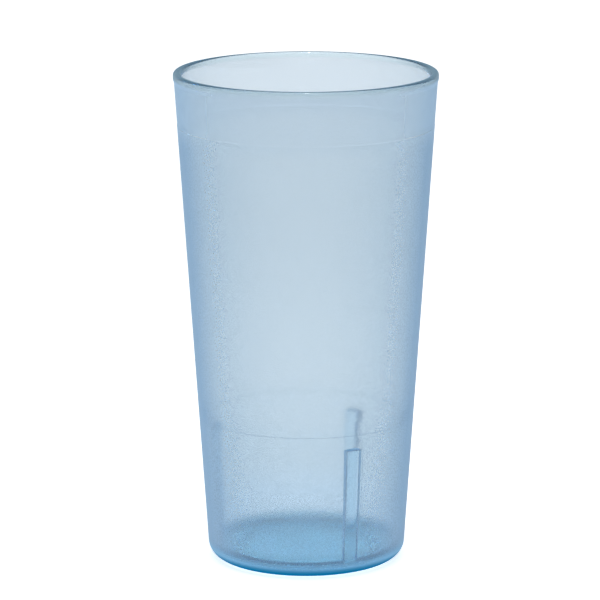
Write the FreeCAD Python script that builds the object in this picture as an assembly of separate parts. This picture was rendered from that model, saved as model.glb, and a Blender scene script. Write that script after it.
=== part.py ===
import FreeCAD, Part
import math
import os

# A tall tapered drinking tumbler, injection moulded in one piece of clear tinted plastic.
# The origin is the centre of the foot on the table, +Z points out of the mouth, and all
# sizes are in millimetres. The sight line of the picture runs along +Y.

# Overall form
cup_height = 161.5
rim_radius = 43.0            # outermost radius of the rolled lip
foot_radius = 32.0           # grained wall carried straight down to the table

# Rolled lip
lip_height = 3.4             # from the crown down to where the lip swells out of the wall
lip_projection = 0.35        # how far the lip stands proud of the wall
lip_swell_height = 0.8       # height over which the lip swells out
lip_swell_rounding = 1.0
lip_crown_flat = 0.15        # narrow flat left on top between the two roundings

# Wall
wall_thickness = 2.2         # measured level, above the inner step
step_height = 47.5           # top of the thicker lower wall, above the table
step_depth = 0.5             # how much the lower wall gains on the inside
step_rise = 0.8              # height of the sloping step
step_rounding = 1.0
grain_depth = 0.08           # the grained wall stands this much proud of the smooth band
smooth_band_height = 17.4    # from the crown down to the grained wall
grain_edge_rise = 0.1        # height of the small ledge where the grain begins

# Base
floor_thickness = 3.2
outer_corner_radius = 5.5
inner_corner_radius = 4.0
recess_depth = 0.8           # shallow hollow under the floor, which leaves a ring to stand on
recess_radius = 23.5
recess_side_run = 1.2        # width of the sloping side of the hollow
recess_rounding = 1.0

# Stacking ribs on the inside of the lower wall
rib_count = 3
first_rib_angle = -62.0      # degrees from +X, so that one rib stands just right of the front
rib_top_height = 42.5
rib_top_width = 4.8
rib_foot_width = 4.5
rib_top_depth = 2.8
rib_foot_depth = 1.6
rib_edge_rounding = 0.5
rib_bite = 0.5               # how far each rib runs into the wall and floor that carry it


def grained_radius(z):
    """Radius of the grained outer wall at the height z."""
    lip_foot = cup_height - lip_height
    top_radius = rim_radius - lip_projection + grain_depth
    return foot_radius + (top_radius - foot_radius) * z / lip_foot


def smooth_radius(z):
    """Radius of the smooth outer wall, which the inside runs parallel to."""
    return grained_radius(z) - grain_depth


def upper_inside_radius(z):
    """Radius of the inside above the step."""
    return smooth_radius(z) - wall_thickness


def lower_inside_radius(z):
    """Radius of the inside below the step."""
    return upper_inside_radius(z) - step_depth


def outside_corners():
    """Corners of the outer outline as (radius, height, rounding), from the axis to the lip."""
    grain_top = cup_height - smooth_band_height
    band_foot = grain_top + grain_edge_rise
    lip_foot = cup_height - lip_height
    swell_top = lip_foot + lip_swell_height
    return [
        (0.0, recess_depth, 0.0),
        (recess_radius - recess_side_run, recess_depth, recess_rounding),
        (recess_radius, 0.0, recess_rounding),
        (foot_radius, 0.0, outer_corner_radius),
        (grained_radius(grain_top), grain_top, 0.0),
        (smooth_radius(band_foot), band_foot, 0.0),
        (smooth_radius(lip_foot), lip_foot, lip_swell_rounding),
        (rim_radius, swell_top, lip_swell_rounding),
    ]


def inside_corners():
    """Corners of the lip and the inner outline, from the lip down to the axis."""
    crown_inside = upper_inside_radius(cup_height)
    crown_rounding = (rim_radius - crown_inside - lip_crown_flat) / 2
    step_top = step_height + step_rise
    return [
        (rim_radius, cup_height, crown_rounding),
        (crown_inside, cup_height, crown_rounding),
        (upper_inside_radius(step_top), step_top, step_rounding),
        (lower_inside_radius(step_height), step_height, step_rounding),
        (lower_inside_radius(floor_thickness), floor_thickness, inner_corner_radius),
        (0.0, floor_thickness, 0.0),
    ]


def section_point(radius, height):
    """A point of the half section, which lies in the plane through +X and +Z."""
    return FreeCAD.Vector(radius, 0, height)


def corner_arc(before, corner, after, rounding):
    """Start, middle and end of the arc that rounds a corner, or the corner three times."""
    if rounding <= 0:
        return corner, corner, corner
    back = (before - corner).normalize()
    ahead = (after - corner).normalize()
    half_angle = back.getAngle(ahead) / 2
    to_tangent = rounding / math.tan(half_angle)
    to_centre = rounding / math.sin(half_angle)
    inward = (back + ahead).normalize()
    start = corner + back * to_tangent
    middle = corner + inward * (to_centre - rounding)
    end = corner + ahead * to_tangent
    return start, middle, end


def section_face():
    """The half section of the cup's wall and floor, as one closed face."""
    corners = outside_corners() + inside_corners()
    points = [section_point(radius, height) for radius, height, rounding in corners]
    arcs = []
    for index, (radius, height, rounding) in enumerate(corners):
        after = points[(index + 1) % len(points)]
        arcs.append(corner_arc(points[index - 1], points[index], after, rounding))
    edges = []
    for index, (start, middle, end) in enumerate(arcs):
        if not start.isEqual(end, 1e-6):
            edges.append(Part.Arc(start, middle, end).toShape())
        next_start = arcs[(index + 1) % len(arcs)][0]
        edges.append(Part.LineSegment(end, next_start).toShape())
    return Part.Face(Part.Wire(edges))


def cup_shell():
    """The round cup without its ribs: the half section turned about the axis."""
    axis_point = FreeCAD.Vector(0, 0, 0)
    axis_direction = FreeCAD.Vector(0, 0, 1)
    return section_face().revolve(axis_point, axis_direction, 360)


def rib_edges_to_round(block, rib_foot):
    """The edges of a rib's free face and top, without those that end up inside the cup."""
    chosen = []
    for edge in block.Edges:
        ends = [vertex.Point for vertex in edge.Vertexes]
        on_top = all(abs(end.z - rib_top_height) < 1e-6 for end in ends)
        at_foot = all(abs(end.z - rib_foot) < 1e-6 for end in ends)
        in_wall = all(-end.y > lower_inside_radius(end.z) for end in ends)
        in_front = all(-end.y < lower_inside_radius(end.z) for end in ends)
        if in_front and not at_foot or on_top and not in_wall:
            chosen.append(edge)
    return chosen


def stacking_rib(angle):
    """One upright rib, narrower and shallower at its foot, so that the cup leaves its mould."""
    rib_foot = floor_thickness - rib_bite
    foot_front = lower_inside_radius(rib_foot) - rib_foot_depth
    foot_back = lower_inside_radius(rib_foot) + rib_bite
    top_front = lower_inside_radius(rib_top_height) - rib_top_depth
    top_back = lower_inside_radius(rib_top_height) + rib_bite
    block = Part.makeWedge(
        -rib_foot_width / 2, rib_foot, foot_front,
        top_front, -rib_top_width / 2,
        rib_foot_width / 2, rib_top_height, foot_back,
        top_back, rib_top_width / 2,
    )
    block.rotate(FreeCAD.Vector(0, 0, 0), FreeCAD.Vector(1, 0, 0), 90)
    rib = block.makeFillet(rib_edge_rounding, rib_edges_to_round(block, rib_foot))
    rib.rotate(FreeCAD.Vector(0, 0, 0), FreeCAD.Vector(0, 0, 1), angle + 90)
    return rib


def tumbler():
    """The whole cup as one solid, with its ribs evenly spaced around the inside."""
    rib_spacing = 360 / rib_count
    ribs = [stacking_rib(first_rib_angle + number * rib_spacing) for number in range(rib_count)]
    return cup_shell().fuse(ribs).removeSplitter()


def save_node(name, shape):
    """Write one node's solid, after a look that it is a single sound one."""
    if not shape.isValid() or len(shape.Solids) != 1:
        raise ValueError(name + " is not one valid solid")
    solid = shape.Solids[0]
    solid.exportStep("parts/" + name + ".step")
    print(name, "volume", round(solid.Volume / 1000, 2), "cm3")


os.makedirs("parts", exist_ok=True)
save_node("tumbler", tumbler())
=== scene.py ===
"""Dressed model of a tall tapered tumbler of clear blue plastic, with fine grain on its outside."""
import logging
import math
from dataclasses import dataclass
from enum import Enum
from functools import cached_property
from typing import Any, Iterator, Optional, Sequence, Union

import bmesh
import bpy
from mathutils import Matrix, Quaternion, Vector, noise


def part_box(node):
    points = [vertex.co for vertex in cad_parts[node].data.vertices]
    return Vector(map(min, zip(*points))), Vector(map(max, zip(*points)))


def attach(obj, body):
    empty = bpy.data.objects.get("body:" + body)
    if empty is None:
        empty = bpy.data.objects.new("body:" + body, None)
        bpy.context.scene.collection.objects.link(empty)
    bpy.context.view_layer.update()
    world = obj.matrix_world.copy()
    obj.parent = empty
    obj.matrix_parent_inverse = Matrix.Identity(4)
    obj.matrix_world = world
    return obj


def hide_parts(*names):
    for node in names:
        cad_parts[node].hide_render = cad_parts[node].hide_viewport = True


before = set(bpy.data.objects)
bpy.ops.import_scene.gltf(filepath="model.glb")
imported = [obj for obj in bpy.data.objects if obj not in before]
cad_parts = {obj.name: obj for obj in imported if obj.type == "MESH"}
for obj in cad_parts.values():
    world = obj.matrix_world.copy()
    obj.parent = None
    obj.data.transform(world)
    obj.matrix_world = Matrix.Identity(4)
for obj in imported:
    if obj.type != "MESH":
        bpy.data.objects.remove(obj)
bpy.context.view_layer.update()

LOG = logging.getLogger("tumbler")
MM = 0.001
AXIS = Vector((0.0, 0.0, 1.0))
ORIGIN = Vector((0.0, 0.0, 0.0))
MERGE_DISTANCE = 0.001 * MM
LEVEL = (1.0, 1.0, 0.0)
NOISE_MEAN = 0.5

Colour = tuple[float, float, float]
Fade = tuple[float, float]


class Side(Enum):
    """The side of the plastic that a point of its surface lies on."""

    OUTSIDE = "outside"
    INSIDE = "inside"


@dataclass(frozen=True)
class Corner:
    """One corner of the cup's half outline.

    Args:
        radius: distance from the cup's axis.
        height: height above the table.
        rounding: radius of the arc that rounds the corner, or 0 for a sharp one.
        facets: straight pieces that stand for the arc.
        rows: rows of vertices added on the straight stretch that leads to the next corner.
    """

    radius: float
    height: float
    rounding: float = 0.0
    facets: int = 1
    rows: int = 0

    @property
    def point(self) -> Vector:
        """The corner as a point of the plane through +X and +Z."""
        return Vector((self.radius, 0.0, self.height))


@dataclass
class CupOutline:
    """Sizes of the turned form, in metres, and the half outline that is spun into it."""

    rim_radius: float
    cup_height: float
    foot_radius: float = 32.0 * MM
    lip_height: float = 3.4 * MM
    lip_projection: float = 0.35 * MM
    lip_swell_height: float = 1.2 * MM
    lip_swell_rounding: float = 1.6 * MM
    lip_crown_flat: float = 0.15 * MM
    wall_thickness: float = 2.2 * MM
    step_height: float = 46.8 * MM
    step_depth: float = 0.5 * MM
    step_rise: float = 5.5 * MM
    step_rounding: float = 2.5 * MM
    grain_depth: float = 0.08 * MM
    smooth_band_height: float = 17.4 * MM
    grain_edge_rise: float = 0.4 * MM
    floor_thickness: float = 3.2 * MM
    outer_corner_radius: float = 5.5 * MM
    inner_corner_radius: float = 4.0 * MM
    recess_depth: float = 0.8 * MM
    recess_radius: float = 23.5 * MM
    recess_side_run: float = 1.2 * MM
    recess_rounding: float = 1.0 * MM

    @property
    def grain_top(self) -> float:
        """Height of the edge where the grain begins."""
        return self.cup_height - self.smooth_band_height

    @property
    def wall_slope(self) -> float:
        """Gain in radius of the outer wall for each metre of height."""
        top_radius = self.rim_radius - self.lip_projection + self.grain_depth
        return (top_radius - self.foot_radius) / (self.cup_height - self.lip_height)

    def grained_radius(self, height: float) -> float:
        """Radius of the grained outer wall at a height."""
        return self.foot_radius + self.wall_slope * height

    def smooth_radius(self, height: float) -> float:
        """Radius of the smooth outer wall at a height."""
        return self.grained_radius(height) - self.grain_depth

    def upper_inside(self, height: float) -> float:
        """Radius of the inside above the step."""
        return self.smooth_radius(height) - self.wall_thickness

    def lower_inside(self, height: float) -> float:
        """Radius of the inside below the step."""
        return self.upper_inside(height) - self.step_depth

    def side_of(self, point: Vector) -> Side:
        """Tell which side of the plastic a point of the turned form lies on.

        Args:
            point: a point of the surface.

        Returns:
            The inside for points within the wall's middle and above the floor's.
        """
        middle = self.smooth_radius(point.z) - self.wall_thickness / 2
        within = point.xy.length < middle and point.z > self.floor_thickness / 2
        return Side.INSIDE if within else Side.OUTSIDE

    def corners(self) -> list[Corner]:
        """The outline's corners, from the axis under the floor over the lip and back to the axis.

        Returns:
            The corners in order.
        """
        band_foot = self.grain_top + self.grain_edge_rise
        lip_foot = self.cup_height - self.lip_height
        crown_inside = self.upper_inside(self.cup_height)
        crown_rounding = (self.rim_radius - crown_inside - self.lip_crown_flat) / 2
        step_top = self.step_height + self.step_rise
        hollow_radius = self.recess_radius - self.recess_side_run
        swell = self.lip_swell_rounding
        step = self.step_rounding
        return [
            Corner(0.0, self.recess_depth, rows=9),
            Corner(hollow_radius, self.recess_depth, self.recess_rounding, facets=3),
            Corner(self.recess_radius, 0.0, self.recess_rounding, facets=3, rows=1),
            Corner(self.foot_radius, 0.0, self.outer_corner_radius, facets=12, rows=110),
            Corner(self.grained_radius(self.grain_top), self.grain_top),
            Corner(self.smooth_radius(band_foot), band_foot, rows=7),
            Corner(self.smooth_radius(lip_foot), lip_foot, swell, facets=3),
            Corner(self.rim_radius, lip_foot + self.lip_swell_height, swell, facets=3),
            Corner(self.rim_radius, self.cup_height, crown_rounding, facets=7),
            Corner(crown_inside, self.cup_height, crown_rounding, facets=7, rows=26),
            Corner(self.upper_inside(step_top), step_top, step, facets=2),
            Corner(self.lower_inside(self.step_height), self.step_height, step, facets=2, rows=9),
            Corner(self.lower_inside(self.floor_thickness), self.floor_thickness,
                   self.inner_corner_radius, facets=10, rows=9),
            Corner(0.0, self.floor_thickness),
        ]

    def trace(self, bm: bmesh.types.BMesh) -> None:
        """Draw the outline as a chain of edges with rounded corners and even rows.

        Args:
            bm: the empty mesh that receives the chain.
        """
        corners = self.corners()
        verts = [bm.verts.new(corner.point) for corner in corners]
        for start, end in zip(verts, verts[1:]):
            bm.edges.new((start, end))
        for before, corner, after, vert in zip(corners, corners[1:], corners[2:], verts[1:]):
            if corner.rounding:
                self.round_corner(bm, vert, before, corner, after)
        for corner, after in zip(corners, corners[1:]):
            if corner.rows:
                stretch = self.stretch_between(bm, corner.point, after.point)
                bmesh.ops.subdivide_edges(bm, edges=[stretch], cuts=corner.rows)

    @staticmethod
    def round_corner(bm: bmesh.types.BMesh, vert: bmesh.types.BMVert, before: Corner,
                     corner: Corner, after: Corner) -> None:
        """Round one corner of the outline with an arc that touches both stretches.

        Args:
            bm: the mesh that holds the outline.
            vert: the vertex at the corner.
            before: the corner that comes before it.
            corner: the corner itself.
            after: the corner that comes after it.
        """
        back = before.point - corner.point
        ahead = after.point - corner.point
        to_tangent = corner.rounding / math.tan(back.angle(ahead) / 2)
        bmesh.ops.bevel(bm, geom=[vert], offset=to_tangent, offset_type="OFFSET",
                        segments=corner.facets, profile=0.5, affect="VERTICES", material=-1)

    @staticmethod
    def stretch_between(bm: bmesh.types.BMesh, start: Vector, end: Vector) -> bmesh.types.BMEdge:
        """The longest edge that lies on the line between two corners.

        Args:
            bm: the mesh that holds the outline.
            start: the first corner.
            end: the second corner.

        Returns:
            The edge that is left between the two roundings.
        """
        along = (end - start).normalized()

        def strays(edge: bmesh.types.BMEdge) -> float:
            """Greatest distance of an edge's ends from the line."""
            return max((vert.co - start).cross(along).length for vert in edge.verts)

        on_line = [edge for edge in bm.edges if strays(edge) < MERGE_DISTANCE]
        return max(on_line, key=lambda edge: edge.calc_length())


@dataclass
class StackingRibs:
    """Upright ribs on the inside of the lower wall, which carry a cup stacked inside.

    They are raised out of the inner wall, whose columns and rows crowd at their edges.
    """

    outline: CupOutline
    count: int = 3
    first_angle: float = math.radians(-62.0)
    top_height: float = 42.5 * MM
    top_width: float = 4.8 * MM
    top_depth: float = 2.8 * MM
    foot_depth: float = 1.6 * MM
    edge_rounding: float = 0.5 * MM
    blend: float = 0.35 * MM
    edge_slack: float = 0.012 * MM
    line_shares: tuple[float, ...] = (0.1, 0.3, 0.62, 1.0)
    open_columns: int = 96
    face_columns: int = 6

    @property
    def half_angle(self) -> float:
        """Half the angle that a rib takes up, seen from the cup's axis."""
        return math.atan(self.top_width / 2 / self.outline.lower_inside(self.top_height))

    @property
    def sector(self) -> float:
        """The angle from one rib to the next."""
        return math.tau / self.count

    def edge_distances(self) -> list[float]:
        """List the distances from a rib's edge at which the mesh needs a line.

        Returns:
            The distances in rising order, negative outside the rib and positive within it.
        """
        outside = [-share * self.blend for share in reversed(self.line_shares)]
        inside = [share * self.edge_rounding for share in self.line_shares]
        return outside + [-self.edge_slack, self.edge_slack] + inside

    def column_offsets(self) -> list[float]:
        """Angles from a rib's middle, in rising order, at which a column of vertices stands.

        Returns:
            The angles of the columns of one rib, edges included.
        """
        wall_radius = self.outline.lower_inside(self.top_height)
        half = [self.half_angle - distance / wall_radius for distance in self.edge_distances()]
        flat = min(half)
        inner = range(1, self.face_columns)
        face = [flat * (2 * number / self.face_columns - 1) for number in inner]
        return sorted([-angle for angle in half] + face + half)

    def turns(self) -> Iterator[tuple[float, int]]:
        """The turns of the spin that lead from one rib's first column to the next rib's.

        Yields:
            An angle to turn through and the even steps to divide it into.
        """
        offsets = self.column_offsets()
        for start, end in zip(offsets, offsets[1:]):
            yield end - start, 1
        yield self.sector - (offsets[-1] - offsets[0]), self.open_columns

    @property
    def first_column(self) -> float:
        """The angle of the first column of the first rib."""
        return self.first_angle + self.column_offsets()[0]

    def add_rows(self, bm: bmesh.types.BMesh) -> None:
        """Cut rows into the inner stretch of the outline where the ribs' tops end.

        Args:
            bm: the mesh that holds the outline, before it is spun.
        """
        for distance in self.edge_distances():
            inner = [edge for edge in bm.edges if self.is_inner_edge(edge)]
            # A dict keeps its order from run to run, which a set of vertices doesn't
            ends = list(dict.fromkeys(vert for edge in inner for vert in edge.verts))
            level = Vector((0.0, 0.0, self.top_height - distance))
            bmesh.ops.bisect_plane(bm, geom=inner + ends, dist=MERGE_DISTANCE / 10,
                                   plane_co=level, plane_no=AXIS)

    def is_inner_edge(self, edge: bmesh.types.BMEdge) -> bool:
        """Whether both ends of an edge lie inside the cup."""
        return all(self.outline.side_of(vert.co) is Side.INSIDE for vert in edge.verts)

    def face_distance(self, height: float) -> float:
        """Work out the distance from the cup's axis to a rib's free face.

        Args:
            height: the height at which it is wanted.

        Returns:
            The distance, which grows evenly from the rib's foot to its top.
        """
        foot = self.outline.floor_thickness
        foot_face = self.outline.lower_inside(foot) - self.foot_depth
        top_face = self.outline.lower_inside(self.top_height) - self.top_depth
        share = (height - foot) / (self.top_height - foot)
        return foot_face + (top_face - foot_face) * share

    def rise(self, edge_distance: float, depth: float) -> float:
        """How far the rib stands out of the wall, by the distance from its edge.

        Args:
            edge_distance: distance from the nearest edge of the rib, positive within it.
            depth: how far its free face stands out of the wall.

        Returns:
            The rise, with a hollow blend outside the edge and a rounding inside it.
        """
        rounding = min(self.edge_rounding, depth / 2)
        blend = min(self.blend, depth / 2)
        if edge_distance > 0:
            drop = rounding - min(edge_distance, rounding)
            return depth - rounding + math.sqrt(max(0.0, rounding ** 2 - drop ** 2))
        reach = max(0.0, blend + edge_distance)
        return blend - math.sqrt(max(0.0, blend ** 2 - reach ** 2))

    def raise_from(self, bm: bmesh.types.BMesh) -> None:
        """Move the inner wall's vertices in, so that the ribs stand out of it.

        Args:
            bm: the spun mesh.
        """
        wall_radius = self.outline.lower_inside(self.top_height)
        widest = self.half_angle + self.blend / wall_radius
        for vert in bm.verts:
            if self.outline.side_of(vert.co) is not Side.INSIDE:
                continue
            if vert.co.z > self.top_height + self.blend or vert.co.xy.length < MERGE_DISTANCE:
                continue
            around = math.atan2(vert.co.y, vert.co.x) - self.first_angle
            around = (around + self.sector / 2) % self.sector - self.sector / 2
            if abs(around) > widest + MERGE_DISTANCE / wall_radius:
                continue
            depth = vert.co.xy.length * math.cos(around) - self.face_distance(vert.co.z)
            if depth <= 0:
                continue
            from_side = (self.half_angle - abs(around)) * wall_radius
            from_top = self.top_height - vert.co.z
            middle = math.atan2(vert.co.y, vert.co.x) - around
            inward = Vector((-math.cos(middle), -math.sin(middle), 0.0))
            vert.co += inward * self.rise(min(from_side, from_top), depth)


@dataclass
class Tumbler:
    """The whole cup as one closed mesh: the turned form, its ribs and its moulded skin."""

    outline: CupOutline
    ribs: StackingRibs
    skin_wave: float = 0.012 * MM
    skin_wavelength: float = 5.0 * MM
    sharp_angle: float = math.radians(50.0)

    def build(self) -> bpy.types.Object:
        """Make the cup's mesh and object.

        Returns:
            The object, in place in the scene.
        """
        bm = bmesh.new()
        self.outline.trace(bm)
        self.ribs.add_rows(bm)
        self.turn(bm)
        bmesh.ops.remove_doubles(bm, verts=bm.verts, dist=MERGE_DISTANCE)
        bmesh.ops.recalc_face_normals(bm, faces=bm.faces)
        self.ribs.raise_from(bm)
        self.ripple(bm)
        self.sort_faces(bm)
        for face in bm.faces:
            face.smooth = True
        mesh = bpy.data.meshes.new("tumbler_cup")
        bm.to_mesh(mesh)
        bm.free()
        mesh.set_sharp_from_angle(angle=self.sharp_angle)
        cup = bpy.data.objects.new("tumbler_cup", mesh)
        bpy.context.scene.collection.objects.link(cup)
        return cup

    def turn(self, bm: bmesh.types.BMesh) -> None:
        """Spin the outline over one rib's sector, in fine turns at the rib, and repeat the sector.

        Args:
            bm: the mesh that holds the outline.
        """
        start = Quaternion(AXIS, self.ribs.first_column).to_matrix()
        bmesh.ops.rotate(bm, verts=bm.verts, cent=ORIGIN, matrix=start)
        chain = list(bm.verts) + list(bm.edges)
        for angle, steps in self.ribs.turns():
            spun = bmesh.ops.spin(bm, geom=chain, cent=ORIGIN, axis=AXIS, angle=angle, steps=steps)
            chain = spun["geom_last"]
        sector = list(bm.verts) + list(bm.edges) + list(bm.faces)
        for number in range(1, self.ribs.count):
            copy = bmesh.ops.duplicate(bm, geom=sector)["geom"]
            moved = [part for part in copy if isinstance(part, bmesh.types.BMVert)]
            swing = Quaternion(AXIS, self.ribs.sector * number).to_matrix()
            bmesh.ops.rotate(bm, verts=moved, cent=ORIGIN, matrix=swing)

    def ripple(self, bm: bmesh.types.BMesh) -> None:
        """Give the outer wall the slight waves of a moulded skin.

        Args:
            bm: the finished mesh.
        """
        for vert in bm.verts:
            if self.outline.side_of(vert.co) is Side.OUTSIDE and vert.co.z < self.outline.grain_top:
                swell = noise.noise(vert.co / self.skin_wavelength) * self.skin_wave
                outward = Vector((vert.co.x, vert.co.y, 0.0))
                if outward.length > self.outline.recess_radius:
                    vert.co += outward.normalized() * (swell - self.skin_wave / 2)

    @staticmethod
    def sort_faces(bm: bmesh.types.BMesh) -> None:
        """Put the faces in the same order in each run, which the spin doesn't do.

        Args:
            bm: the finished mesh.
        """
        bm.verts.index_update()
        total = len(bm.verts)

        def place_in_order(face: bmesh.types.BMFace) -> int:
            """A number that no other face has."""
            numbers = [vert.index for vert in face.verts]
            return min(numbers) * total + sum(numbers)

        bm.faces.sort(key=place_in_order)


Operand = Union["Signal", float, Sequence[float]]


class ShaderGraph:
    """One node tree that is filled from Python expressions."""

    # Numbers of a Mix node's sockets where it mixes colours
    MIX_SHARE, MIX_FIRST, MIX_SECOND, MIX_RESULT = 0, 6, 7, 2

    def __init__(self, tree: bpy.types.NodeTree) -> None:
        """Take over a tree and empty it.

        Args:
            tree: the tree of a material or a world.
        """
        self.tree = tree
        tree.nodes.clear()

    def add(self, kind: str, settings: Optional[dict[str, Any]] = None,
            inputs: Optional[dict[Union[str, int], Operand]] = None) -> bpy.types.Node:
        """Add one node.

        Args:
            kind: the node's type.
            settings: its own settings, which are set first.
            inputs: values or links for its sockets, by name or number.

        Returns:
            The new node.
        """
        node = self.tree.nodes.new(kind)
        for name, value in (settings or {}).items():
            setattr(node, name, value)
        for name, value in (inputs or {}).items():
            socket = node.inputs[name]
            if isinstance(value, Signal):
                self.tree.links.new(value.socket, socket)
            elif socket.type == "RGBA":
                socket.default_value = (*value, 1.0)
            else:
                socket.default_value = value
        return node

    def signal(self, kind: str, output: Union[str, int], settings: Optional[dict[str, Any]] = None,
               inputs: Optional[dict[Union[str, int], Operand]] = None) -> "Signal":
        """Add one node and take one of its outputs.

        Args:
            kind: the node's type.
            output: the name or number of the output.
            settings: the node's own settings.
            inputs: values or links for its sockets.

        Returns:
            The output, ready for arithmetic.
        """
        return Signal(self, self.add(kind, settings, inputs).outputs[output])

    def maths(self, operation: str, *operands: Operand) -> "Signal":
        """The result of a Math node."""
        return self.signal("ShaderNodeMath", 0, {"operation": operation}, dict(enumerate(operands)))

    def vector_maths(self, operation: str, *operands: Operand) -> "Signal":
        """Work on vectors with a Vector Math node.

        Args:
            operation: the node's operation.
            operands: vectors, as values or links.

        Returns:
            The resulting vector, or a number for the length.
        """
        output = "Value" if operation == "LENGTH" else "Vector"
        settings = {"operation": operation}
        return self.signal("ShaderNodeVectorMath", output, settings, dict(enumerate(operands)))

    def blend(self, share: Operand, first: Operand, second: Operand) -> "Signal":
        """Mix two colours.

        Args:
            share: how much of the second colour there is, from 0 to 1.
            first: the colour where the share is 0.
            second: the colour where the share is 1.

        Returns:
            The mixed colour.
        """
        inputs = {self.MIX_SHARE: share, self.MIX_FIRST: first, self.MIX_SECOND: second}
        return self.signal("ShaderNodeMix", self.MIX_RESULT, {"data_type": "RGBA"}, inputs)


@dataclass(frozen=True)
class Signal:
    """An output of a node, with the operators of arithmetic."""

    graph: ShaderGraph
    socket: bpy.types.NodeSocket

    def __add__(self, other: Operand) -> "Signal":
        """Sum of the two."""
        return self.graph.maths("ADD", self, other)

    __radd__ = __add__

    def __mul__(self, other: Operand) -> "Signal":
        """Product of the two."""
        return self.graph.maths("MULTIPLY", self, other)

    __rmul__ = __mul__

    def __sub__(self, other: Operand) -> "Signal":
        """This less the other."""
        return self.graph.maths("SUBTRACT", self, other)

    def __rsub__(self, other: Operand) -> "Signal":
        """The other less this."""
        return self.graph.maths("SUBTRACT", other, self)

    def __truediv__(self, other: Operand) -> "Signal":
        """This over the other."""
        return self.graph.maths("DIVIDE", self, other)

    def __rtruediv__(self, other: Operand) -> "Signal":
        """The other over this."""
        return self.graph.maths("DIVIDE", other, self)

    def __neg__(self) -> "Signal":
        """This with its sign turned."""
        return self * -1.0

    def cosine(self) -> "Signal":
        """Cosine of an angle."""
        return self.graph.maths("COSINE", self)

    def larger(self, other: Operand) -> "Signal":
        """The larger of the two."""
        return self.graph.maths("MAXIMUM", self, other)

    def eased(self, low: float, high: float) -> "Signal":
        """Turn a value into a smooth rise, or into a fall if the low end lies above the high one.

        Args:
            low: the value that gives 0.
            high: the value that gives 1.

        Returns:
            The share between 0 and 1.
        """
        inputs = {"Value": self, "From Min": low, "From Max": high}
        settings = {"interpolation_type": "SMOOTHSTEP"}
        return self.graph.signal("ShaderNodeMapRange", "Result", settings, inputs)


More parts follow.
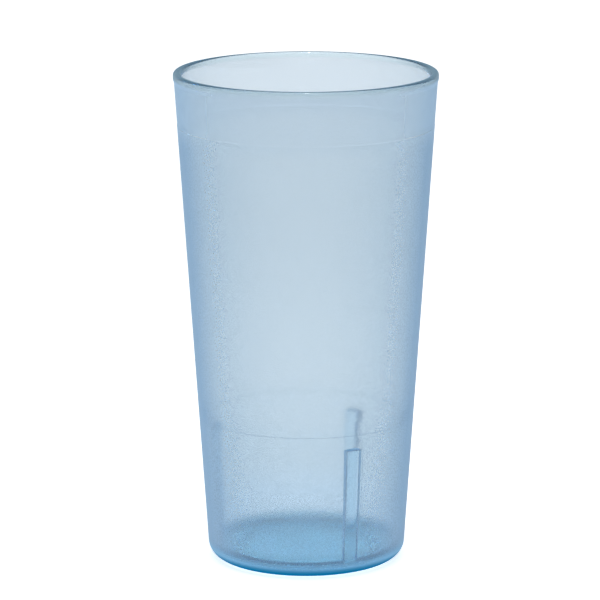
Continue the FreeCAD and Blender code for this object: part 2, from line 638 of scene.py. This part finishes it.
@dataclass(frozen=True)
class SurfaceZones:
    """Signals that tell the parts of the cup's surface apart, each 1 on its part and 0 off it.

    A fade gives the lengths at which a zone is 0 and 1. Fades are heights above the table and
    reaches are distances from the axis, unless a name says otherwise.
    """

    graph: ShaderGraph
    outline: CupOutline
    ribs: StackingRibs
    fade_through_wall: Fade = (-0.3 * MM, 0.3 * MM)
    fade_from_grain_top: Fade = (0.15 * MM, -0.05 * MM)
    fade_of_band_from_grain_top: Fade = (-6.0 * MM, 1.0 * MM)
    fade_from_crown: Fade = (-2.4 * MM, -1.2 * MM)
    lower_half_fade: Fade = (70.0 * MM, 15.0 * MM)
    low_wall_fade: Fade = (26.0 * MM, 12.0 * MM)
    wall_fade: Fade = (4.0 * MM, 7.5 * MM)
    foot_fade: Fade = (7.0 * MM, 3.0 * MM)
    dull_foot_fade: Fade = (6.0 * MM, 2.0 * MM)
    foot_outside_fade: Fade = (2.8 * MM, 1.8 * MM)
    # Painted contact shade: height and reach of the dark line at the foot
    contact_shade_fade: Fade = (3.9 * MM, 1.0 * MM)
    contact_shade_reach: Fade = (28.6 * MM, 29.4 * MM)
    underside_fade: Fade = (1.6 * MM, 1.1 * MM)
    underside_reach: Fade = (28.5 * MM, 26.5 * MM)
    base_ring_reach: Fade = (23.0 * MM, 26.0 * MM)
    floor_fade: Fade = (9.0 * MM, 4.0 * MM)
    floor_corner_reach: Fade = (24.5 * MM, 27.0 * MM)
    rib_foot_fade: Fade = (4.5 * MM, 6.0 * MM)
    rib_skin: float = 0.2 * MM
    fade_from_rib_skin: Fade = (0.0, -0.3 * MM)
    fade_above_rib: Fade = (-1.0 * MM, 0.0)
    rib_shadow_core: float = 0.7
    # Painted highlight: how far under the grain's top edge its lighter line lies
    ledge_highlight_drop: float = 0.1 * MM
    # Painted highlight: level of the pale line at the inner step
    step_highlight_height: float = 47.7 * MM
    line_half_width: float = 0.3 * MM

    @cached_property
    def place(self) -> Signal:
        """The point on the cup."""
        return self.graph.signal("ShaderNodeTexCoord", "Object")

    @cached_property
    def height(self) -> Signal:
        """Height above the table."""
        return self.graph.signal("ShaderNodeSeparateXYZ", "Z", None, {"Vector": self.place})

    @cached_property
    def radius(self) -> Signal:
        """Distance from the cup's axis."""
        level_place = self.graph.vector_maths("MULTIPLY", self.place, LEVEL)
        return self.graph.vector_maths("LENGTH", level_place)

    def above(self, level: float, fade: Fade) -> Signal:
        """The height over a level, eased between two lengths."""
        return self.height.eased(level + fade[0], level + fade[1])

    def ring(self, level: float) -> Signal:
        """Thin soft line round the cup at a level."""
        return self.graph.maths("ABSOLUTE", self.height - level).eased(self.line_half_width, 0.0)

    @cached_property
    def outside(self) -> Signal:
        """The outer side of the wall.

        Returns:
            The zone.
        """
        middle = self.outline.smooth_radius(0) - self.outline.wall_thickness / 2
        wall_middle = self.outline.wall_slope * self.height + middle
        return (self.radius - wall_middle).eased(*self.fade_through_wall)

    @cached_property
    def whole_outside(self) -> Signal:
        """The outer side of the wall together with the foot's rounding and the underside."""
        return self.outside.larger(self.height.eased(*self.foot_outside_fade))

    @cached_property
    def grain(self) -> Signal:
        """The grained part of the outside, which leaves out the strips in front of the ribs.

        Returns:
            The zone.
        """
        parts = self.graph.add("ShaderNodeSeparateXYZ", None, {"Vector": self.place})
        across, along = (Signal(self.graph, parts.outputs[name]) for name in "XY")
        around = self.graph.maths("ARCTAN2", along, across)
        to_rib = ((around - self.ribs.first_angle) * self.ribs.count).cosine()
        reach = self.ribs.half_angle * self.ribs.count
        core = reach * self.rib_shadow_core
        beside_rib = 1 - to_rib.eased(math.cos(reach), math.cos(core))
        above_rib = self.above(self.ribs.top_height, self.fade_above_rib)
        below_band = self.above(self.outline.grain_top, self.fade_from_grain_top)
        return self.outside * below_band * beside_rib.larger(above_rib)

    @cached_property
    def band(self) -> Signal:
        """The smooth band under the lip, on both sides of the wall."""
        return self.above(self.outline.grain_top, self.fade_of_band_from_grain_top)

    @cached_property
    def lip(self) -> Signal:
        """The crown of the lip."""
        return self.above(self.outline.cup_height, self.fade_from_crown)

    @cached_property
    def rib(self) -> Signal:
        """The faces and sides of the ribs.

        Returns:
            The zone.
        """
        skin = self.outline.lower_inside(0) - self.rib_skin
        skin_radius = self.outline.wall_slope * self.height + skin
        in_front = (self.radius - skin_radius).eased(*self.fade_from_rib_skin)
        return in_front * self.height.eased(*self.rib_foot_fade)

    @cached_property
    def lower_half(self) -> Signal:
        """The lower half of the wall."""
        return self.height.eased(*self.lower_half_fade)

    @cached_property
    def low_wall(self) -> Signal:
        """The lowest part of the wall."""
        return self.height.eased(*self.low_wall_fade)

    @cached_property
    def wall(self) -> Signal:
        """The wall on both sides, above the base."""
        return self.height.eased(*self.wall_fade)

    @cached_property
    def foot(self) -> Signal:
        """The foot's rounding."""
        return self.height.eased(*self.foot_fade)

    @cached_property
    def dull_foot(self) -> Signal:
        """The lower part of the foot's rounding, where its skin is dull."""
        return self.height.eased(*self.dull_foot_fade)

    @cached_property
    def contact_shade_line(self) -> Signal:
        """Painted contact shade: the dark line where the foot's rounding meets the table."""
        return self.height.eased(*self.contact_shade_fade) * self.radius.eased(*self.contact_shade_reach)

    @cached_property
    def underside(self) -> Signal:
        """The underside within the line at the foot."""
        return self.height.eased(*self.underside_fade) * self.radius.eased(*self.underside_reach)

    @cached_property
    def base_ring(self) -> Signal:
        """The outer ring of the base, taken by the distance from the axis alone."""
        return self.radius.eased(*self.base_ring_reach)

    @cached_property
    def floor_corner(self) -> Signal:
        """The floor's corner with the wall, taken by the distance from the axis alone."""
        return self.radius.eased(*self.floor_corner_reach)

    @cached_property
    def floor(self) -> Signal:
        """The floor's upper side."""
        return self.height.eased(*self.floor_fade) * (1 - self.whole_outside)

    @cached_property
    def ledge_highlight(self) -> Signal:
        """Painted highlight: the clearer, lighter line outside where the grain begins, as if its
        ledge caught the light.
        """
        return self.ring(self.outline.grain_top - self.ledge_highlight_drop) * self.outside

    @cached_property
    def step_highlight(self) -> Signal:
        """Painted highlight: the pale line inside where the wall grows thicker, as if the step
        caught the light.
        """
        return self.ring(self.step_highlight_height) * (1 - self.outside)


@dataclass(frozen=True)
class ClearBluePlastic:
    """Clear plastic with a pale blue tint, polished inside and finely pebbled outside.

    The skin is clear and lets light through. Over it lies a thin haze, which scatters part of
    the light, and more of it the flatter the surface is seen. Tints colour what passes, haze
    tints what is scattered, and numbers whose names end in haze say how dense the haze is.
    The dark line at the foot is painted contact shade, laid on as a near-black matte layer, and
    the clearer line at the grain's top edge and the pale line at the inner step are painted
    highlights.
    """

    outline: CupOutline
    ribs: StackingRibs
    refractive_index: float = 1.57
    body_tint: Colour = (0.125, 0.60, 0.82)
    body_density: float = 75.0
    wall_tint: Colour = (0.865, 0.865, 0.87)
    worn_tint: Colour = (0.85, 0.85, 0.855)
    band_tint: Colour = (0.795, 0.81, 0.835)
    low_wall_tint: Colour = (0.87, 0.905, 0.95)
    base_ring_tint: Colour = (0.60, 0.90, 1.0)
    base_floor_tint: Colour = (0.74, 0.98, 1.0)
    lip_tint: Colour = (0.77, 0.82, 0.84)
    rib_tint: Colour = (0.97, 0.99, 1.0)
    wall_haze_tint: Colour = (0.26, 0.425, 0.61)
    band_haze_tint: Colour = (0.34, 0.51, 0.69)
    lip_haze_tint: Colour = (0.22, 0.36, 0.46)
    # Painted highlight: colour of the pale line at the inner step
    step_highlight_tint: Colour = (0.85, 0.92, 0.97)
    foot_haze_tint: Colour = (0.21, 0.46, 0.69)
    # Painted contact shade: colour of the dark line at the foot
    contact_shade_tint: Colour = (0.002, 0.165, 0.335)
    floor_haze_tint: Colour = (0.42, 0.80, 1.0)
    rib_haze_tint: Colour = (0.22, 0.54, 0.88)
    wall_haze: float = 0.175
    lower_half_haze: float = 0.07
    foot_haze: float = 0.45
    lip_haze: float = 0.10
    grain_haze: float = 0.03
    underside_haze: float = 0.15
    # Strength of the painted contact shade at the foot
    contact_shade_strength: float = 6.0
    floor_haze: float = 0.02
    floor_corner_haze: float = 0.4
    rib_haze: float = 0.065
    inside_haze: float = 0.006
    # Strength of the painted highlight at the inner step
    step_highlight_strength: float = 0.26
    # Painted highlight: how much haze is taken off along the grain's top edge
    ledge_highlight_strength: float = 0.7
    haze_roughness: float = 0.6
    haze_gloss: float = 0.0
    haze_falloff: float = 2.5
    haze_edge_margin: float = 0.06
    sheen: float = 0.21
    sheen_roughness: float = 0.4
    speckle_square_on: float = 0.3
    speckle_aslant: float = 0.4
    speckle_lower_half: float = 0.3
    polished_roughness: float = 0.05
    grained_roughness: float = 0.08
    foot_roughness: float = 0.6
    pebble_size: float = 0.5 * MM
    pebble_height: float = 0.003 * MM
    pebble_detail: float = 1.0
    pebble_unevenness: float = 0.6
    pebble_fade: Fade = (0.3, 0.7)
    flow_wave_size: float = 6.0 * MM
    flow_wave_height: float = 0.015 * MM
    streak_size: float = 5.0 * MM
    streak_stretch: tuple[float, float, float] = (1.0, 1.0, 0.08)
    streak_height: float = 0.02 * MM
    patch_size: float = 3.0 * MM
    patch_detail: float = 3.0
    worn_fade: Fade = (0.55, 0.75)

    def make(self) -> bpy.types.Material:
        """Build the material.

        Returns:
            The finished material.
        """
        material = bpy.data.materials.new("clear_blue_plastic")
        material.use_nodes = True
        graph = ShaderGraph(material.node_tree)
        zones = SurfaceZones(graph, self.outline, self.ribs)
        pebbles = self.pebbles(zones)
        patches = self.cloud(graph, zones.place, self.patch_size, self.patch_detail)
        bump = self.bump(zones, pebbles)
        clear = graph.signal("ShaderNodeBsdfPrincipled", "BSDF", None, {
            "Base Color": self.clear_tint(zones, patches),
            "Roughness": self.roughness(zones),
            "IOR": self.refractive_index,
            "Transmission Weight": 1.0,
            "Normal": bump,
        })
        haze = graph.signal("ShaderNodeBsdfPrincipled", "BSDF", None, {
            "Base Color": self.haze_tint(zones),
            "Roughness": self.haze_roughness,
            "Specular IOR Level": self.haze_gloss,
            "Sheen Weight": self.sheen,
            "Sheen Roughness": self.sheen_roughness,
            "Normal": bump,
        })
        # Painted contact shade: a near-black matte layer over the line where the foot meets the
        # table
        painted_contact_shade = graph.signal("ShaderNodeBsdfPrincipled", "BSDF", None, {
            "Base Color": self.contact_shade_tint,
            "Roughness": self.haze_roughness,
            "Specular IOR Level": self.haze_gloss,
        })
        share = self.haze_share(zones, pebbles, patches)
        skin = graph.signal("ShaderNodeMixShader", 0, None, {0: share, 1: clear, 2: haze})
        # Lay the painted contact shade over the skin at the foot
        surface = graph.signal("ShaderNodeMixShader", 0, None,
                               {0: zones.contact_shade_line, 1: skin, 2: painted_contact_shade})
        body = graph.signal("ShaderNodeVolumeAbsorption", "Volume", None,
                            {"Color": self.body_tint, "Density": self.body_density})
        graph.add("ShaderNodeOutputMaterial", None, {"Surface": surface, "Volume": body})
        return material

    def bump(self, zones: SurfaceZones, pebbles: Signal) -> Signal:
        """Raise the pebbles, the slight waves under them and the upright flow streaks.

        Args:
            zones: the parts of the surface.
            pebbles: the pebbles' relief.

        Returns:
            The bumped normal.
        """
        graph = zones.graph
        flow = self.cloud(graph, zones.place, self.flow_wave_size)
        stretched = graph.vector_maths("MULTIPLY", zones.place, self.streak_stretch)
        streaks = self.cloud(graph, stretched, self.streak_size)
        relief = (zones.grain * (pebbles * self.pebble_height + flow * self.flow_wave_height)
                  + zones.outside * streaks * self.streak_height)
        return graph.signal("ShaderNodeBump", "Normal", None,
                            {"Strength": 1.0, "Distance": 1.0, "Height": relief})

    def clear_tint(self, zones: SurfaceZones, patches: Signal) -> Signal:
        """Tint what passes through the skin, by the part of the cup.

        Args:
            zones: the parts of the surface.
            patches: soft variation, whose peaks are slightly worn.

        Returns:
            The tint.
        """
        blend = zones.graph.blend
        wall = blend(patches.eased(*self.worn_fade), self.wall_tint, self.worn_tint)
        wall = blend(zones.band, wall, self.band_tint)
        wall = blend(zones.low_wall, wall, self.low_wall_tint)
        base = blend(zones.base_ring, self.base_floor_tint, self.base_ring_tint)
        tint = blend(zones.wall, base, wall)
        tint = blend(zones.lip, tint, self.lip_tint)
        return blend(zones.rib, tint, self.rib_tint)

    def roughness(self, zones: SurfaceZones) -> Signal:
        """Make the skin polished, a little rougher on the grain and dull at the foot.

        Args:
            zones: the parts of the surface.

        Returns:
            The roughness.
        """
        return (zones.grain * self.grained_roughness + self.polished_roughness
                + zones.dull_foot * self.foot_roughness)

    def haze_tint(self, zones: SurfaceZones) -> Signal:
        """Tint what the haze scatters, by the part of the cup.

        Args:
            zones: the parts of the surface.

        Returns:
            The tint.
        """
        blend = zones.graph.blend
        tint = blend(zones.band, self.wall_haze_tint, self.band_haze_tint)
        tint = blend(zones.lip, tint, self.lip_haze_tint)
        # Painted highlight at the inner step
        tint = blend(zones.step_highlight, tint, self.step_highlight_tint)
        tint = blend(zones.foot, tint, self.foot_haze_tint)
        # Painted contact shade at the foot
        tint = blend(zones.contact_shade_line, tint, self.contact_shade_tint)
        tint = blend(zones.floor, tint, self.floor_haze_tint)
        tint = blend(zones.rib, tint, self.rib_haze_tint)
        return blend(zones.underside, tint, self.floor_haze_tint)

    def haze_share(self, zones: SurfaceZones, pebbles: Signal, patches: Signal) -> Signal:
        """Work out how much of the light the haze scatters.

        Args:
            zones: the parts of the surface.
            pebbles: the pebbles' relief, which speckles the haze.
            patches: soft variation, which breaks up the painted highlight at the inner step.

        Returns:
            The share, which grows the flatter the surface is seen.
        """
        graph = zones.graph
        facing = graph.signal("ShaderNodeLayerWeight", "Facing", None, {"Blend": 0.5})
        contrast = (self.speckle_square_on + facing * self.speckle_aslant
                    + zones.lower_half * self.speckle_lower_half)
        speckle = zones.grain * (pebbles - NOISE_MEAN) * contrast
        wall = (self.wall_haze + zones.lower_half * self.lower_half_haze
                + zones.foot * self.foot_haze)
        depth = (zones.whole_outside * (1 - zones.lip - zones.underside) * wall
                 + zones.lip * self.lip_haze
                 + zones.grain * self.grain_haze
                 + zones.underside * self.underside_haze
                 # Painted contact shade at the foot
                 + zones.contact_shade_line * self.contact_shade_strength
                 + zones.floor * (self.floor_haze + zones.floor_corner * self.floor_corner_haze)
                 + zones.rib * self.rib_haze
                 + self.inside_haze) * (1 + speckle)
        # Painted highlights: less haze along the grain's top edge, and a pale haze ring at the
        # inner step
        depth = (depth * (1 - zones.ledge_highlight * self.ledge_highlight_strength)
                 # Painted highlight at the inner step, broken up by the patches
                 + zones.step_highlight * patches * (self.step_highlight_strength / NOISE_MEAN))
        squareness = graph.maths("POWER", 1 + self.haze_edge_margin - facing, self.haze_falloff)
        return 1 - graph.maths("EXPONENT", -(depth / squareness))

    def pebbles(self, zones: SurfaceZones) -> Signal:
        """Lay out the small rounded pebbles of the grain.

        Args:
            zones: the parts of the surface.

        Returns:
            Their relief, from 0 between them to about 1 on their tops.
        """
        grains = zones.graph.signal("ShaderNodeTexNoise", "Fac", None, {
            "Vector": zones.place,
            "Scale": 1 / self.pebble_size,
            "Detail": self.pebble_detail,
            "Roughness": self.pebble_unevenness,
        })
        return grains.eased(*self.pebble_fade)

    @staticmethod
    def cloud(graph: ShaderGraph, place: Signal, size: float, detail: float = 1.0) -> Signal:
        """Make soft random variation.

        Args:
            graph: the material's graph.
            place: the point at which it is read.
            size: size of its waves.
            detail: how many finer waves lie over them.

        Returns:
            The variation between 0 and 1, about 0.5 on average.
        """
        return graph.signal("ShaderNodeTexNoise", "Fac", None,
                            {"Vector": place, "Scale": 1 / size, "Detail": detail})


@dataclass
class Studio:
    """Pale floor, soft light from all round and above, and the limits of the light's paths."""

    floor_radius: float = 6.0
    floor_gap: float = 0.05 * MM
    floor_facets: int = 128
    floor_glow: float = 0.76
    floor_tint: Colour = (0.9, 0.9, 0.9)
    floor_roughness: float = 0.9
    horizon_light: Colour = (1.0, 1.0, 1.0)
    right_light: Colour = (0.32, 0.34, 0.36)
    right_fade: Fade = (0.0, 0.8)
    zenith_light: Colour = (0.16, 0.2, 0.23)
    zenith_fade: Fade = (0.05, 0.3)
    overhead_strength: float = 0.9
    overhead_spread: float = math.radians(60.0)
    pool_power: float = 17.0
    pool_spread: float = math.radians(42.0)
    pool_source_radius: float = 0.05
    pool_position: tuple[float, float, float] = (0.0, 0.0, 1.5)
    clear_bounces: int = 24
    gloss_bounces: int = 12

    def build(self) -> None:
        """Make the floor, the world and the lights, and set how far light is followed."""
        self.build_floor()
        self.build_world()
        self.build_lights()
        scene = bpy.context.scene
        scene.view_settings.view_transform = "Standard"
        scene.cycles.max_bounces = self.clear_bounces
        scene.cycles.transmission_bounces = self.clear_bounces
        scene.cycles.glossy_bounces = self.gloss_bounces
        scene.cycles.blur_glossy = 0.0

    def build_floor(self) -> None:
        """Lay the pale floor just under the cup's foot."""
        bm = bmesh.new()
        bmesh.ops.create_circle(bm, cap_ends=True, segments=self.floor_facets,
                                radius=self.floor_radius)
        bmesh.ops.translate(bm, verts=bm.verts, vec=AXIS * -self.floor_gap)
        mesh = bpy.data.meshes.new("studio_floor")
        bm.to_mesh(mesh)
        bm.free()
        floor = bpy.data.objects.new("studio_floor", mesh)
        bpy.context.scene.collection.objects.link(floor)
        material = bpy.data.materials.new("pale_floor")
        material.use_nodes = True
        graph = ShaderGraph(material.node_tree)
        shader = graph.signal("ShaderNodeBsdfPrincipled", "BSDF", None, {
            "Base Color": self.floor_tint,
            "Roughness": self.floor_roughness,
            "Specular IOR Level": 0.0,
            "Emission Color": self.horizon_light,
            "Emission Strength": self.floor_glow,
        })
        graph.add("ShaderNodeOutputMaterial", None, {"Surface": shader})
        mesh.materials.append(material)

    def build_world(self) -> None:
        """Light the scene from a bright horizon that dims to the right and towards the top."""
        world = bpy.data.worlds.new("studio_world")
        world.use_nodes = True
        bpy.context.scene.world = world
        graph = ShaderGraph(world.node_tree)
        direction = graph.signal("ShaderNodeTexCoord", "Generated")
        parts = graph.add("ShaderNodeSeparateXYZ", None, {"Vector": direction})
        right = Signal(graph, parts.outputs["X"]).eased(*self.right_fade)
        upward = Signal(graph, parts.outputs["Z"]).eased(*self.zenith_fade)
        horizon = graph.blend(right, self.horizon_light, self.right_light)
        light = graph.blend(upward, horizon, self.zenith_light)
        background = graph.signal("ShaderNodeBackground", "Background", None, {"Color": light})
        graph.add("ShaderNodeOutputWorld", None, {"Surface": background})

    def build_lights(self) -> None:
        """Light the floor evenly from above, and more brightly round the cup."""
        overhead = bpy.data.lights.new("overhead_light", "SUN")
        overhead.energy = self.overhead_strength
        overhead.angle = self.overhead_spread
        self.hang(overhead, ORIGIN)
        pool = bpy.data.lights.new("pool_light", "SPOT")
        pool.energy = self.pool_power
        pool.spot_size = self.pool_spread
        pool.spot_blend = 1.0
        pool.shadow_soft_size = self.pool_source_radius
        pool.specular_factor = 0.0
        self.hang(pool, self.pool_position)

    @staticmethod
    def hang(light: bpy.types.Light, position: Sequence[float]) -> None:
        """Put a light that shines straight down in the scene.

        Args:
            light: the light.
            position: where it hangs.
        """
        lamp = bpy.data.objects.new(light.name, light)
        lamp.location = position
        bpy.context.scene.collection.objects.link(lamp)


@dataclass
class PictureCamera:
    """Camera at the viewing angle of the picture."""

    position: tuple[float, float, float] = (0.0, -1.2709, 0.3638)
    target: tuple[float, float, float] = (-0.0020, 0.0, 0.0858)
    roll: float = -0.00143
    lens: float = 238.7
    sensor_width: float = 36.0

    def build(self) -> None:
        """Put the camera in the scene and make it the active one."""
        data = bpy.data.cameras.new("picture_camera")
        data.lens = self.lens
        data.sensor_width = self.sensor_width
        camera = bpy.data.objects.new("picture_camera", data)
        sight = Vector(self.target) - Vector(self.position)
        facing = sight.to_track_quat("-Z", "Y") @ Quaternion(AXIS, self.roll)
        camera.location = self.position
        camera.rotation_euler = facing.to_euler()
        bpy.context.scene.collection.objects.link(camera)
        bpy.context.scene.camera = camera


def main() -> None:
    """Build the cup, its finish and the studio, and report each piece."""
    logging.basicConfig(level=logging.INFO, format="%(name)s: %(message)s")
    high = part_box("tumbler")[1]
    outline = CupOutline(rim_radius=high[0], cup_height=high[2])
    ribs = StackingRibs(outline)
    cup = Tumbler(outline, ribs).build()
    cup.data.materials.append(ClearBluePlastic(outline, ribs).make())
    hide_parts("tumbler")
    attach(cup, "root")
    LOG.info("%s: %d faces", cup.name, len(cup.data.polygons))
    Studio().build()
    PictureCamera().build()


if __name__ == "__main__":
    main()
